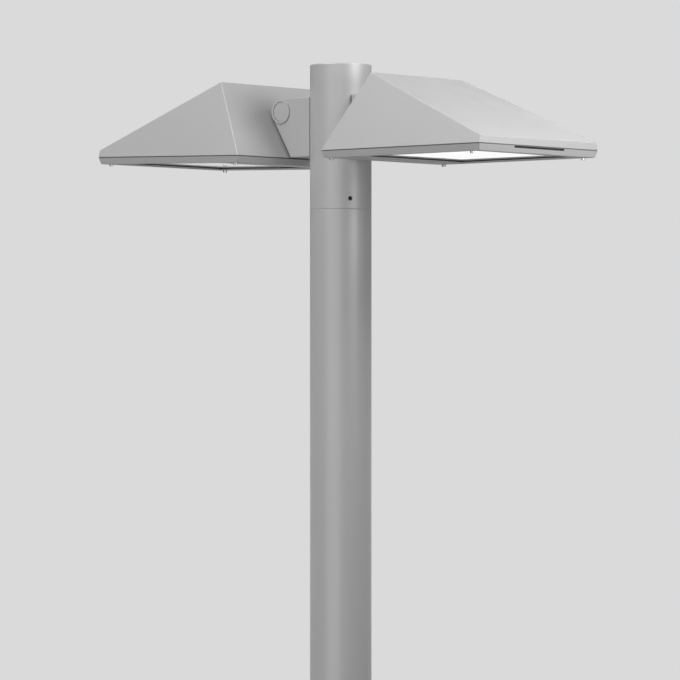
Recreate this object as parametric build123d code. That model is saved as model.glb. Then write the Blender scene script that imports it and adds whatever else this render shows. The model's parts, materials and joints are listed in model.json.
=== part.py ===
"""Twin-head pole-top area floodlight on a round base-plate column.

Millimetres, +Z up. The origin is the centre of the base plate's underside. One head reaches towards +X
and the other towards -X. Each head is drawn in its own frame first: x runs out from the column's axis,
y across the head, and z = 0 is the seam between the head's housing and its lid.
"""
from build123d import *
import os
from math import atan2, cos, hypot, radians, sin

# ---- column ----
column_height = 3000.0        # underside of the base plate to the seam under the top fitting
pole_d = 108.0
pole_wall = 4.0
seam_bevel = 0.7              # bevel on both tubes where they meet
plate_side = 300.0
plate_t = 16.0
plate_corner_r = 15.0
anchor_spacing = 220.0
anchor_hole_r = 11.0
cable_entry_r = 40.0
weld_leg = 5.0
spigot_wall = 5.0
spigot_down = 150.0           # length held inside the column
spigot_up = 85.0              # length that the top fitting turns on
running_gap = 0.05            # radial gap of every turning fit
touch_gap = 0.3               # gap between a loose end and what moves past it

# ---- service door and what hangs behind it ----
door_mid_z = 600.0
door_height = 300.0
door_width = 70.0
door_corner_r = 12.0
door_gap = 1.0
door_screw_inset = 15.0
door_screw_r = 4.0
door_head_r = 6.0
door_head_t = 3.5
door_head_sunk = 2.0
door_socket_r = 3.2
screw_slide_gap = 0.1
crossbar_t = 6.0
crossbar_high = 16.0
crossbar_y = 31.0             # front face of the crossbars, from the column's axis
rail_width = 25.0
rail_t = 5.0
rail_length = 220.0
rail_front_y = 24.0
rail_stud_r = 4.0
rail_nut_r = 6.4
rail_stud_inset = 12.0
fuse_width = 56.0
fuse_depth = 36.0
fuse_height = 160.0
fuse_wall = 2.5
fuse_cover_t = 6.0
fuse_window_up = (30.0, 50.0)  # view window's low and high edge above the box's underside
fuse_window_deep = 1.0
fuse_gland_r = 9.0
fuse_gland_high = 10.0
cable_r = 6.0
earth_drop = 45.0             # earth stud below the fuse box
earth_stud_r = 4.0
earth_stud_length = 20.0
earth_nut_r = 6.5
earth_nut_t = 6.0

# ---- top fitting ----
top_height = 254.0            # seam with the column to the top of the cap
top_wall = 6.0
cap_t = 4.0
cap_round = 2.0
cap_plug = 14.0
set_screw_up = 18.0
set_screw_r = 4.0
set_screw_sunk = 2.0
set_screw_socket_r = 2.2
set_screw_turns = (-30.0, 90.0, 210.0)
junction_size = (36.0, 28.0, 26.0)
junction_round = 2.0
junction_plate_t = 2.0
junction_plate_wide = 40.0
junction_plate_high = 46.0
junction_rib_t = 4.0
junction_rib_high = 16.0
lead_r = 3.5
lead_hole_r = 5.0
lead_up = 52.0                # lead above the heads' seam

# ---- bracket between the top fitting and a head ----
seam_below_top = 159.7        # heads' seam below the top of the cap
fork_width = 54.0
cheek_t = 9.0
web_t = 10.0
floor_t = 5.0
fork_bevel = 1.0
fork_gap = 1.6                # fork to the housing's back slope
pad_t = 2.7
pad_inset = 1.0
pivot_x = 118.5
pivot_z = 82.0
ring_r = 21.25
ring_high = 2.0
cap_well_r = 17.3
cap_well_deep = 6.0
pivot_cap_t = 1.2
pivot_cap_wall = 1.5
pivot_cap_gap = 0.3
pivot_bolt_r = 6.0
pivot_head_r = 9.0
pivot_head_t = 4.0
lug_r = 20.0
disc_t = 1.2
disc_r = 18.0
bracket_bolt_r = 4.0
bracket_head_r = 6.5
bracket_head_t = 7.0
bracket_socket_r = 3.2
bracket_bolt_rise = (25.0, 80.0)
thread_deep = 8.0
backing_t = 4.0
backing_wide = 36.0
backing_margin = 12.0
spot_deep = 0.5
spot_gap = 1.0

# ---- housing ----
left_aim = 1.5                # degrees that the left head is set front-up
back_x = 97.0                 # housing's back edge from the column's axis
head_length = 350.0
head_width = 316.0
ridge_back = 80.0             # back edge to the ridge, level
ridge_height = 131.0
hip_inset = 37.5              # how far each side leans in at the ridge
lip_height = 12.0
housing_wall = 4.0
edge_round = 1.0
boss_r = 4.5
boss_high = 18.0
boss_thread_deep = 14.0
post_r = 5.0

# ---- lid and glass ----
gasket_t = 2.0
gasket_inset = 1.0
gasket_width = 5.0
lid_height = 11.0
lid_draft = 3.5               # how far each side leans in at the lid's underside
lid_corner_r = 2.0
lid_edge = 0.8                # bevel along the lid's lower outer edges
side_member = 17.0
front_member = 22.0
back_member = 62.0
member_skin = 3.0
member_wall = 12.0
ledge_t = 2.5
glass_t = 5.0
glass_lap = 3.0
seal_t = 1.0
seal_side = 0.5
notch_length = 133.0
notch_high = 3.3
notch_deep = 6.0
lid_screw_side = 10.5
lid_screw_back = 15.0
lid_screw_front = 24.0
lid_screw_r = 2.0
lid_screw_up = 10.0           # thread above the seam
lid_head_r = 3.6
lid_head_t = 4.0
lid_socket_r = 1.7

# ---- light engine and control gear ----
spreader_z = 34.0
spreader_t = 8.0
spreader_back = 88.0          # behind-edge distances are from the housing's back edge
spreader_length = 167.0
spreader_width = 240.0
spreader_post_inset = 19.0
spreader_post_side = 6.0
fin_count = 19
fin_pitch = 11.0
fin_t = 2.0
fin_high = 8.0
fin_length = 74.0
board_t = 2.0
board_back = 108.0
board_length = 130.0
board_width = 190.0
lens_plate_t = 2.0
lens_r = 11.0
lens_rows = 4
lens_columns = 6
lens_pitch = 31.0
sheet_t = 1.2
reflector_gap = 6.0           # window edge to the board's edge
reflector_flange = 5.0
reflector_low_z = 2.0
reflector_to_opening = 4.0
tray_z = 58.0
tray_t = 1.5
tray_back = 45.0
tray_length = 116.0
tray_width = 190.0
tray_post_inset = 11.0
driver_size = (64.0, 150.0, 32.5)
driver_back = 71.0
driver_round = 2.0
terminal_size = (18.0, 44.0, 14.0)
terminal_back = 49.0
terminal_ways = 4
gear_screw_r = 2.0
gear_screw_deep = 6.0
gear_head_r = 3.5
gear_head_t = 3.0
gear_socket_r = 1.6
gear_socket_deep = 1.5
gland_z = 28.0
gland_r = 9.0
gland_neck_r = 6.0
gland_out = 9.0
gland_tip = 4.0
gland_nut_t = 4.0

# ---- worked out ----
pole_r = pole_d / 2
pole_bore_r = pole_r - pole_wall
top_bore_r = pole_r - top_wall
top_z = column_height + top_height
seam_z = top_z - seam_below_top
front_x = back_x + head_length
half_width = head_width / 2
ridge_x = back_x + ridge_back
back_slope = hypot(ridge_back, ridge_height)
out_x = ridge_height / back_slope          # unit normal of the back slope, pointing into the head
out_z = -ridge_back / back_slope
pivot_to_back = (pivot_x - back_x) * -out_x - pivot_z * out_z
nose_r = pivot_to_back - fork_gap
cheek_in = fork_width / 2 - cheek_t
lug_half = cheek_in - disc_t - running_gap
lid_top = -gasket_t
lid_low = lid_top - lid_height
glass_low = lid_low + ledge_t + seal_t
open_back = back_x + back_member
open_front = front_x - front_member
open_half = half_width - side_member
side_lean = hip_inset / ridge_height
pad_r = pole_r + pad_t
web_front = pad_r + web_t


def block(x0, x1, y0, y1, z0, z1):
    """Box between two corners."""
    return Pos((x0 + x1) / 2, (y0 + y1) / 2, (z0 + z1) / 2) * Box(x1 - x0, y1 - y0, z1 - z0)


def rod(x, y, z0, z1, radius):
    """Upright cylinder."""
    return Pos(x, y, (z0 + z1) / 2) * Cylinder(radius, z1 - z0)


def rod_x(x0, x1, y, z, radius):
    """Cylinder along X."""
    return Pos((x0 + x1) / 2, y, z) * Rot(0, 90, 0) * Cylinder(radius, x1 - x0)


def rod_y(x, y0, y1, z, radius):
    """Cylinder along Y."""
    return Pos(x, (y0 + y1) / 2, z) * Rot(90, 0, 0) * Cylinder(radius, y1 - y0)


def hex_hole(depth, radius):
    """Hexagonal socket, its floor at z = -depth and its mouth at z = 0."""
    return Pos(0, 0, -depth) * extrude(RegularPolygon(radius, 6), depth)


def group(solids):
    """Separate solids that share one node."""
    return Compound(children=list(solids))


# ---------------------------------------------------------------- column
def base_plate():
    plate = extrude(RectangleRounded(plate_side, plate_side, plate_corner_r), plate_t)
    plate -= rod(0, 0, -1, plate_t + 1, cable_entry_r)
    for x in (-anchor_spacing / 2, anchor_spacing / 2):
        for y in (-anchor_spacing / 2, anchor_spacing / 2):
            plate -= rod(x, y, -1, plate_t + 1, anchor_hole_r)
    weld = Pos(0, 0, plate_t + weld_leg / 2) * Cone(pole_r + weld_leg, pole_r, weld_leg)
    return plate + (weld - rod(0, 0, 0, plate_t + weld_leg + 1, pole_r))


def door_prism(gap):
    """Rounded block through the column's -Y wall, smaller than the door opening by gap all round."""
    outline = RectangleRounded(door_width - 2 * gap, door_height - 2 * gap, door_corner_r - gap)
    return Pos(0, 0, door_mid_z) * extrude(Plane.XZ * outline, pole_r + 1)


def pole_tube():
    tube = rod(0, 0, plate_t, column_height, pole_r)
    tube = chamfer(tube.edges().group_by(Axis.Z)[-1], seam_bevel)
    tube -= rod(0, 0, 0, column_height + 1, pole_bore_r)
    return tube - door_prism(0)


def spigot():
    low = column_height - spigot_down
    body = rod(0, 0, low, column_height, pole_bore_r)
    body += rod(0, 0, column_height, column_height + spigot_up, top_bore_r - running_gap)
    return body - rod(0, 0, low - 1, column_height + spigot_up + 1, top_bore_r - running_gap - spigot_wall)


def door_screw_heights():
    reach = door_height / 2 - door_screw_inset
    return (door_mid_z - reach, door_mid_z + reach)


def door_crossbars():
    bore = rod(0, 0, 0, column_height, pole_bore_r)
    half = crossbar_high / 2
    bars = []
    for z in door_screw_heights():
        bar = block(-pole_r, pole_r, -crossbar_y, crossbar_t - crossbar_y, z - half, z + half) & bore
        bars.append(bar - rod_y(0, -pole_r, 0, z, door_screw_r + screw_slide_gap))
    return group(bars)


def door_plate():
    shell = rod(0, 0, 0, column_height, pole_r) - rod(0, 0, 0, column_height, pole_bore_r)
    plate = shell & door_prism(door_gap)
    for z in door_screw_heights():
        plate -= rod_y(0, -pole_r - 1, 0, z, door_screw_r)
        plate -= rod_y(0, -pole_r - 1, door_head_sunk - pole_r, z, door_head_r)
    return plate


def door_screws():
    seat = door_head_sunk - pole_r
    screws = []
    for z in door_screw_heights():
        head = rod_y(0, seat - door_head_t, seat, z, door_head_r)
        shank = rod_y(0, seat, crossbar_t - crossbar_y, z, door_screw_r)
        socket = Pos(0, seat - door_head_t, z) * Rot(90, 0, 0) * hex_hole(door_head_t / 2, door_socket_r)
        screws.append(head + shank - socket)
    return group(screws)


def equipment_rail():
    low = door_mid_z - rail_length / 2
    back = rail_front_y + rail_t
    rail = block(-rail_width / 2, rail_width / 2, rail_front_y, back, low, low + rail_length)
    for z in rail_stud_heights():
        rail -= rod_y(0, rail_front_y - 1, back + 1, z, rail_stud_r)
    return rail


def rail_stud_heights():
    reach = rail_length / 2 - rail_stud_inset
    return (door_mid_z - reach, door_mid_z + reach)


def rail_studs():
    bore = rod(0, 0, 0, column_height, pole_bore_r)
    back = rail_front_y + rail_t
    studs = []
    for z in rail_stud_heights():
        stud = rod_y(0, rail_front_y, pole_r, z, rail_stud_r)
        stud += rod_y(0, back, pole_r, z, rail_nut_r)
        stud += rod_y(0, rail_front_y - rail_t, rail_front_y, z, rail_nut_r)
        studs.append(stud & bore)
    return group(studs)


def fuse_bounds():
    """Front y, back y, low z and high z of the fuse box."""
    low = door_mid_z - fuse_height / 2
    return rail_front_y - fuse_depth, rail_front_y, low, low + fuse_height


def fuse_box():
    front, back, low, high = fuse_bounds()
    half = fuse_width / 2
    box = block(-half, half, front, back, low, high)
    box = fillet(box.edges().filter_by(Axis.Y), fuse_wall)
    room = half - fuse_wall
    box -= block(-room, room, front - 1, back - fuse_wall, low + fuse_wall, high - fuse_wall)
    margin = 5 * fuse_wall
    for x in (-half / 2, 0, half / 2):
        way = block(-half / 6, half / 6, front + fuse_wall, back - 1, low + margin, high - margin)
        box += Pos(x, 0, 0) * way
    box += rod(0, 0, high, high + fuse_gland_high, fuse_gland_r)
    return box


def fuse_box_cover():
    front, _, low, high = fuse_bounds()
    half = fuse_width / 2
    cover = block(-half, half, front - fuse_cover_t, front, low, high)
    cover = fillet(cover.edges().filter_by(Axis.Y), fuse_wall)
    cover = chamfer(cover.faces().sort_by(Axis.Y)[0].edges(), fuse_wall / 2)
    face = front - fuse_cover_t
    sill, head = fuse_window_up
    return cover - block(-half / 2, half / 2, face - 1, face + fuse_window_deep, low + sill, low + head)


def earth_stud():
    bore = rod(0, 0, 0, column_height, pole_bore_r)
    z = fuse_bounds()[2] - earth_drop
    front = pole_bore_r - earth_stud_length
    nut_y = front + earth_nut_t
    stud = rod_y(0, front, pole_r, z, earth_stud_r) & bore
    hexagon = extrude(RegularPolygon(earth_nut_r, 6), earth_nut_t)
    nut = Pos(0, nut_y + earth_nut_t, z) * Rot(90, 0, 0) * hexagon
    nut -= rod_y(0, front - 1, pole_r, z, earth_stud_r)
    return group([stud, nut])


def mast_cable():
    low = fuse_bounds()[3] + fuse_gland_high
    return rod(0, 0, low, seam_z + lead_up - junction_size[2] / 2 - touch_gap, cable_r)


# ---------------------------------------------------------------- top fitting
def turned_z(part, angle):
    return Rot(0, 0, angle) * part


def top_tube():
    tube = rod(0, 0, column_height, top_z - cap_t, pole_r)
    tube = chamfer(tube.edges().group_by(Axis.Z)[0], seam_bevel)
    tube -= rod(0, 0, column_height - 1, top_z, top_bore_r)
    for angle in set_screw_turns:
        tube -= turned_z(rod_x(0, pole_r + 1, 0, column_height + set_screw_up, set_screw_r), angle)
    for x in (-pole_r - 1, 0):
        tube -= rod_x(x, x + pole_r + 1, 0, seam_z + lead_up, lead_hole_r)
        for rise in bracket_bolt_rise:
            tube -= rod_x(x, x + pole_r + 1, 0, seam_z + rise, bracket_bolt_r)
    return tube


def top_cap():
    disc = rod(0, 0, top_z - cap_t, top_z, pole_r)
    disc = fillet(disc.edges().group_by(Axis.Z)[-1], cap_round)
    plug = rod(0, 0, top_z - cap_t - cap_plug, top_z - cap_t, top_bore_r)
    plug -= rod(0, 0, top_z - cap_t - cap_plug - 1, top_z - cap_t, top_bore_r - pole_wall)
    return disc + plug


def set_screws():
    low = top_bore_r
    high = pole_r - set_screw_sunk
    screw = rod_x(low, high, 0, 0, set_screw_r)
    screw -= Pos(high, 0, 0) * Rot(0, 90, 0) * hex_hole((high - low) * 0.6, set_screw_socket_r)
    height = Pos(0, 0, column_height + set_screw_up)
    return group([height * turned_z(screw, angle) for angle in set_screw_turns])


def junction_block():
    long, wide, high = junction_size
    box = Pos(0, 0, seam_z + lead_up) * Box(long, wide, high)
    box = fillet(box.edges().filter_by(Axis.Z), junction_round)
    for x in (-long / 4, long / 4):
        box -= rod(x, 0, seam_z + lead_up + high / 4, top_z, long / 10)
    return box


def junction_plate():
    front = junction_size[1] / 2
    mid = seam_z + lead_up
    back = front + junction_plate_t
    plate = Pos(0, (front + back) / 2, mid) * Box(junction_plate_wide, junction_plate_t, junction_plate_high)
    rib = Pos(0, (back + pole_r) / 2, mid) * Box(junction_rib_t, pole_r - back, junction_rib_high)
    return plate + (rib & rod(0, 0, column_height, top_z, top_bore_r))


def head_lead():
    """Lead from the junction block through the bracket's web, in the head's frame."""
    return rod_x(junction_size[0] / 2, web_front, 0, lead_up, lead_r)


# ---------------------------------------------------------------- bracket, in the head's frame
def fork_outline():
    """Side view of the bracket: level top, round nose about the pivot, front edge along the back slope."""
    high = pivot_z + nose_r
    low_tangent = (pivot_x + nose_r * out_x, pivot_z + nose_r * out_z)
    top_tangent = (pivot_x, high)
    nose_turn = (radians(90) + atan2(out_z, out_x)) / 2
    nose_tip = (pivot_x + nose_r * cos(nose_turn), pivot_z + nose_r * sin(nose_turn))
    foot = (back_x - fork_gap / out_x, 0)
    edge = Polyline((0, high), (0, 0), foot, low_tangent)
    edge += ThreePointArc(low_tangent, nose_tip, top_tangent)
    edge += Line(top_tangent, (0, high))
    return make_face(edge)


def bracket():
    half = fork_width / 2
    fork = extrude(Plane.XZ * fork_outline(), half, both=True)
    fork = chamfer(fork.faces().filter_by(Axis.Y).edges(), fork_bevel)
    fork += rod_y(pivot_x, -half - ring_high, half + ring_high, pivot_z, ring_r)
    fork -= block(web_front, front_x, -cheek_in, cheek_in, floor_t, ridge_height)
    for side in (-1, 1):
        rim = side * (half + ring_high)
        floor = rim - side * cap_well_deep
        fork -= rod_y(pivot_x, min(rim, floor), max(rim, floor), pivot_z, cap_well_r)
    fork -= rod_y(pivot_x, -half, half, pivot_z, pivot_bolt_r)
    fork -= rod(0, 0, -1, ridge_height, pad_r)
    fork -= rod_x(0, web_front + 1, 0, lead_up, lead_hole_r)
    for rise in bracket_bolt_rise:
        fork -= rod_x(0, pad_r + thread_deep, 0, rise, bracket_bolt_r)
    return fork


def bracket_pad():
    half = fork_width / 2 - pad_inset
    pad = rod(0, 0, pad_inset, pivot_z + nose_r - pad_inset, pad_r)
    pad -= rod(0, 0, 0, ridge_height, pole_r)
    pad = pad & block(0, pad_r, -half, half, 0, ridge_height)
    pad -= rod_x(0, pad_r + 1, 0, lead_up, lead_hole_r)
    for rise in bracket_bolt_rise:
        pad -= rod_x(0, pad_r + 1, 0, rise, bracket_bolt_r)
    return pad


def backing_plate():
    low = bracket_bolt_rise[0] - backing_margin
    high = bracket_bolt_rise[1] + backing_margin
    plate = rod(0, 0, low, high, top_bore_r) - rod(0, 0, low - 1, high + 1, top_bore_r - backing_t)
    plate = plate & block(0, top_bore_r, -backing_wide / 2, backing_wide / 2, low, high)
    plate -= rod_x(0, top_bore_r + 1, 0, lead_up, lead_hole_r)
    for rise in bracket_bolt_rise:
        plate -= rod_x(0, top_bore_r + 1, 0, rise, bracket_bolt_r)
        plate -= rod_x(0, top_bore_r - backing_t + spot_deep, 0, rise, bracket_head_r + spot_gap)
    return plate


def bracket_bolts():
    seat = top_bore_r - backing_t + spot_deep
    bolts = []
    for rise in bracket_bolt_rise:
        bolt = rod_x(seat - bracket_head_t, seat, 0, rise, bracket_head_r)
        bolt += rod_x(seat, pad_r + thread_deep, 0, rise, bracket_bolt_r)
        socket = Rot(0, -90, 0) * hex_hole(bracket_head_t / 2, bracket_socket_r)
        bolts.append(bolt - Pos(seat - bracket_head_t, 0, rise) * socket)
    return bolts


def pivot_bolt_and_nut():
    seat = fork_width / 2 + ring_high - cap_well_deep
    bolt = rod_y(pivot_x, -seat - pivot_head_t, -seat, pivot_z, pivot_head_r)
    bolt += rod_y(pivot_x, -seat, seat + pivot_head_t, pivot_z, pivot_bolt_r)
    nut = rod_y(pivot_x, seat, seat + pivot_head_t, pivot_z, pivot_head_r)
    nut -= rod_y(pivot_x, seat - 1, seat + pivot_head_t + 1, pivot_z, pivot_bolt_r)
    return [bolt, nut]


def pivot_cap_pair():
    seat = fork_width / 2 + ring_high - cap_well_deep
    radius = cap_well_r - pivot_cap_gap
    cap = rod_y(pivot_x, seat, seat + pivot_head_t + pivot_cap_t, pivot_z, radius)
    cap = fillet(cap.edges().group_by(Axis.Y)[-1], pivot_cap_t / 2)
    cap -= rod_y(pivot_x, seat - 1, seat + pivot_head_t, pivot_z, radius - pivot_cap_wall)
    return [cap, mirror(cap, about=Plane.XZ)]


# ---------------------------------------------------------------- housing, in the head's frame
def wedge(inset, drop):
    """Hipped wedge of the head with every face moved in by inset and its walls carried down by drop."""
    run = drop * ridge_back / ridge_height
    lean = drop * side_lean
    side_points = [(back_x - run, -drop), (front_x, -drop), (front_x, lip_height), (ridge_x, ridge_height)]
    end_half = half_width + lean
    end_points = [(-end_half, -drop), (end_half, -drop)]
    end_points += [(half_width - hip_inset, ridge_height), (hip_inset - half_width, ridge_height)]
    side = make_face(Polyline(*side_points, close=True))
    end = make_face(Polyline(*end_points, close=True))
    if inset > 0:
        side = offset(side, -inset, kind=Kind.INTERSECTION)
        end = offset(end, -inset, kind=Kind.INTERSECTION)
    long = extrude(Plane.XZ * side, head_width, both=True)
    return long & extrude(Plane.YZ * end, front_x + head_width)


def lid_screw_points():
    y = half_width - lid_screw_side
    rows = (back_x + lid_screw_back, front_x - lid_screw_front)
    return [(x, side * y) for x in rows for side in (-1, 1)]


def tray_posts():
    y = tray_width / 2 - tray_post_inset
    low = back_x + tray_back + tray_post_inset
    return [(x, side * y) for x in (low, low + tray_length - 2 * tray_post_inset) for side in (-1, 1)]


def spreader_posts():
    y = spreader_width / 2 - spreader_post_side
    low = back_x + spreader_back + spreader_post_inset
    far = low + spreader_length - 2 * spreader_post_inset
    return [(x, side * y) for x in (low, far) for side in (-1, 1)]


def lug():
    """Ear between the bracket's cheeks: an eye about the pivot and a block back to the housing."""
    reach = pivot_to_back + housing_wall / 2
    across = (-out_z * lug_r, out_x * lug_r)
    foot = (pivot_x + out_x * reach, pivot_z + out_z * reach)
    corners = [(pivot_x + across[0], pivot_z + across[1]), (foot[0] + across[0], foot[1] + across[1])]
    corners += [(foot[0] - across[0], foot[1] - across[1]), (pivot_x - across[0], pivot_z - across[1])]
    ear = extrude(Plane.XZ * make_face(Polyline(*corners, close=True)), lug_half, both=True)
    ear += rod_y(pivot_x, -lug_half, lug_half, pivot_z, lug_r)
    return ear - rod_y(pivot_x, -lug_half - 1, lug_half + 1, pivot_z, pivot_bolt_r + running_gap)


def gland_plane():
    """Plane on the back slope's outer face, its normal pointing away from the head."""
    x = back_x + gland_z * ridge_back / ridge_height
    return Plane(origin=(x, 0, gland_z), x_dir=(0, 1, 0), z_dir=(-out_x, 0, -out_z))


def housing():
    outer = wedge(0, 0)
    shell = fillet(outer.edges().filter_by(lambda edge: edge.center().Z > 1), edge_round)
    shell -= wedge(housing_wall, 2 * housing_wall)
    for x, y in lid_screw_points():
        shell += rod(x, y, 0, boss_high, boss_r) & wedge(housing_wall / 2, housing_wall)
        shell -= rod(x, y, -1, boss_thread_deep, lid_screw_r + screw_slide_gap)
    inner = wedge(housing_wall / 2, 0)
    for x, y in tray_posts():
        shell += rod(x, y, tray_z + tray_t, ridge_height, post_r) & inner
        shell -= rod(x, y, tray_z, tray_z + tray_t + gear_screw_deep, gear_screw_r)
    for x, y in spreader_posts():
        shell += rod(x, y, spreader_z + spreader_t, ridge_height, post_r) & inner
        shell -= rod(x, y, spreader_z, spreader_z + spreader_t + gear_screw_deep, gear_screw_r)
    shell += lug()
    neck = Pos(0, 0, -housing_wall) * Cylinder(gland_neck_r, 4 * housing_wall)
    return shell - gland_plane() * neck


def friction_discs():
    inner = rod_y(pivot_x, -cheek_in, cheek_in, pivot_z, pivot_bolt_r + running_gap)
    disc = rod_y(pivot_x, lug_half, lug_half + disc_t, pivot_z, disc_r)
    return group([disc - inner, mirror(disc, about=Plane.XZ) - inner])


def cable_gland():
    low = -housing_wall - gland_nut_t
    body = Pos(0, 0, (low + gland_out) / 2) * Cylinder(gland_neck_r, gland_out - low)
    body += extrude(RegularPolygon(gland_r, 6), gland_out)
    body += Pos(0, 0, low) * extrude(RegularPolygon(gland_r, 6), gland_nut_t)
    body += Pos(0, 0, gland_out + gland_tip / 2) * Cone(gland_neck_r, lead_r + 1, gland_tip)
    body -= Pos(0, 0, (low + gland_out + gland_tip) / 2) * Cylinder(lead_r, gland_out + gland_tip - low + 2)
    return gland_plane() * body


# ---------------------------------------------------------------- light engine and control gear
def heat_spreader():
    low = back_x + spreader_back
    half = spreader_width / 2
    top = spreader_z + spreader_t
    plate = block(low, low + spreader_length, -half, half, spreader_z, top)
    fin_front = low + spreader_length - spreader_post_inset / 2
    first = -fin_pitch * (fin_count - 1) / 2
    for index in range(fin_count):
        y = first + index * fin_pitch
        plate += block(fin_front - fin_length, fin_front, y - fin_t / 2, y + fin_t / 2, top, top + fin_high)
    for x, y in spreader_posts():
        plate -= rod(x, y, 0, top + 1, gear_screw_r)
    return plate


def board_centre_x():
    return back_x + board_back + board_length / 2


def led_board():
    mid = spreader_z - board_t / 2
    return Pos(board_centre_x(), 0, mid) * Box(board_length, board_width, board_t)


def led_lenses():
    top = spreader_z - board_t
    low = top - lens_plate_t
    plate = block(0, board_length, -board_width / 2, board_width / 2, low, top)
    plate = Pos(board_centre_x() - board_length / 2, 0, 0) * plate
    first_x = board_centre_x() - lens_pitch * (lens_rows - 1) / 2
    first_y = -lens_pitch * (lens_columns - 1) / 2
    cup = Pos(0, 0, low) * Sphere(lens_r) & block(-lens_r, lens_r, -lens_r, lens_r, low - lens_r, low)
    for row in range(lens_rows):
        for column in range(lens_columns):
            plate += Pos(first_x + row * lens_pitch, first_y + column * lens_pitch, 0) * cup
    return plate


def slab(x0, x1, half, z):
    return Pos((x0 + x1) / 2, 0, z) * Rectangle(x1 - x0, 2 * half)


def funnel(grow):
    """Solid funnel from the board's window down to the glass, with its walls moved out by grow."""
    centre = board_centre_x()
    reach = board_length / 2 + reflector_gap + grow
    half = board_width / 2 + reflector_gap + grow
    low_back = open_back + reflector_to_opening - grow
    low_front = open_front - reflector_to_opening + grow
    top = slab(centre - reach, centre + reach, half, spreader_z)
    bottom = slab(low_back, low_front, open_half - reflector_to_opening + grow, reflector_low_z)
    return loft([bottom, top])


def reflector():
    centre = board_centre_x()
    reach = board_length / 2 + reflector_gap + reflector_flange
    half = board_width / 2 + reflector_gap + reflector_flange
    sheet = funnel(sheet_t)
    sheet += block(centre - reach, centre + reach, -half, half, spreader_z - sheet_t, spreader_z)
    low = reflector_low_z
    sheet += block(open_back, open_front, -open_half, open_half, low, low + sheet_t)
    return sheet - funnel(0)


def gear_tray():
    low = back_x + tray_back
    half = tray_width / 2
    tray = block(low, low + tray_length, -half, half, tray_z, tray_z + tray_t)
    for x, y in tray_posts():
        tray -= rod(x, y, 0, tray_z + tray_t + 1, gear_screw_r)
    return tray


def driver():
    long, wide, high = driver_size
    low = back_x + driver_back
    box = block(low, low + long, -wide / 2, wide / 2, tray_z + tray_t, tray_z + tray_t + high)
    return fillet(box.edges().filter_by(Axis.Z), driver_round)


def terminal_block():
    long, wide, high = terminal_size
    low = back_x + terminal_back
    strip = block(low, low + long, -wide / 2, wide / 2, tray_z - high, tray_z)
    pitch = wide / terminal_ways
    for index in range(terminal_ways):
        y = pitch * (index + 0.5) - wide / 2
        strip -= rod(low + long / 2, y, tray_z - high - 1, tray_z - high / 2, pitch / 4)
    return strip


def gear_screws():
    screws = []
    for x, y, seat, thickness in gear_screw_seats():
        screw = rod(x, y, seat - gear_head_t, seat, gear_head_r)
        screw += rod(x, y, seat, seat + thickness + gear_screw_deep, gear_screw_r)
        socket = Rot(180, 0, 0) * hex_hole(gear_socket_deep, gear_socket_r)
        screws.append(screw - Pos(x, y, seat - gear_head_t) * socket)
    return group(screws)


def gear_screw_seats():
    seats = [(x, y, tray_z, tray_t) for x, y in tray_posts()]
    return seats + [(x, y, spreader_z, spreader_t) for x, y in spreader_posts()]


# ---------------------------------------------------------------- lid, in the head's frame
def ring(x0, x1, half, z0, z1, width):
    """Flat rectangular ring of one width."""
    outer = block(x0, x1, -half, half, z0, z1)
    return outer - block(x0 + width, x1 - width, width - half, half - width, z0 - 1, z1 + 1)


def lid_frame():
    top = slab(back_x, front_x, half_width, lid_top)
    bottom = slab(back_x + lid_draft, front_x - lid_draft, half_width - lid_draft, lid_low)
    frame = loft([bottom, top])
    corner_length = hypot(lid_height, lid_draft, lid_draft)
    corners = frame.edges().filter_by(lambda edge: abs(edge.length - corner_length) < 0.1)
    frame = fillet(corners, lid_corner_r)
    frame = chamfer(frame.edges().group_by(Axis.Z)[0], lid_edge)
    lap = glass_lap + seal_side
    rebate_z = lid_low + ledge_t
    frame -= block(open_back, open_front, -open_half, open_half, lid_low - 1, 0)
    frame -= block(open_back - lap, open_front + lap, -open_half - lap, open_half + lap, rebate_z, 0)
    half = half_width - 2 * member_wall
    pocket_low = lid_low + member_skin
    frame -= block(back_x + member_wall, open_back - member_wall, -half, half, pocket_low, 0)
    half_notch = notch_length / 2
    frame -= block(front_x - notch_deep, front_x + 1, -half_notch, half_notch, lid_top - notch_high, 0)
    for x, y in lid_screw_points():
        frame -= rod(x, y, lid_low - 1, 0, lid_screw_r)
    return frame


def lid_gasket():
    inset = gasket_inset
    return ring(back_x + inset, front_x - inset, half_width - inset, lid_top, 0, gasket_width)


def glass():
    half = open_half + glass_lap
    return block(open_back - glass_lap, open_front + glass_lap, -half, half, glass_low, glass_low + glass_t)


def glass_seal():
    lap = glass_lap + seal_side
    low = glass_low - seal_t
    seal = ring(open_back - lap, open_front + lap, open_half + lap, low, glass_low + glass_t, lap)
    return seal - glass()


def lid_screws():
    screws = []
    for x, y in lid_screw_points():
        screw = rod(x, y, lid_low - lid_head_t, lid_low, lid_head_r)
        screw = fillet(screw.edges().group_by(Axis.Z)[0], lid_head_t / 8)
        screw += rod(x, y, lid_low, lid_screw_up, lid_screw_r)
        socket = Rot(180, 0, 0) * hex_hole(lid_head_t / 2, lid_socket_r)
        screws.append(screw - Pos(x, y, lid_low - lid_head_t) * socket)
    return group(screws)


# ---------------------------------------------------------------- placing and writing
right_side = Pos(0, 0, seam_z)
left_side = Pos(0, 0, seam_z) * Rot(0, 0, 180)
aim_left = Pos(pivot_x, 0, pivot_z) * Rot(0, -left_aim, 0) * Pos(-pivot_x, 0, -pivot_z)
sides = {"right": (right_side, right_side), "left": (left_side, left_side * aim_left)}

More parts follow.
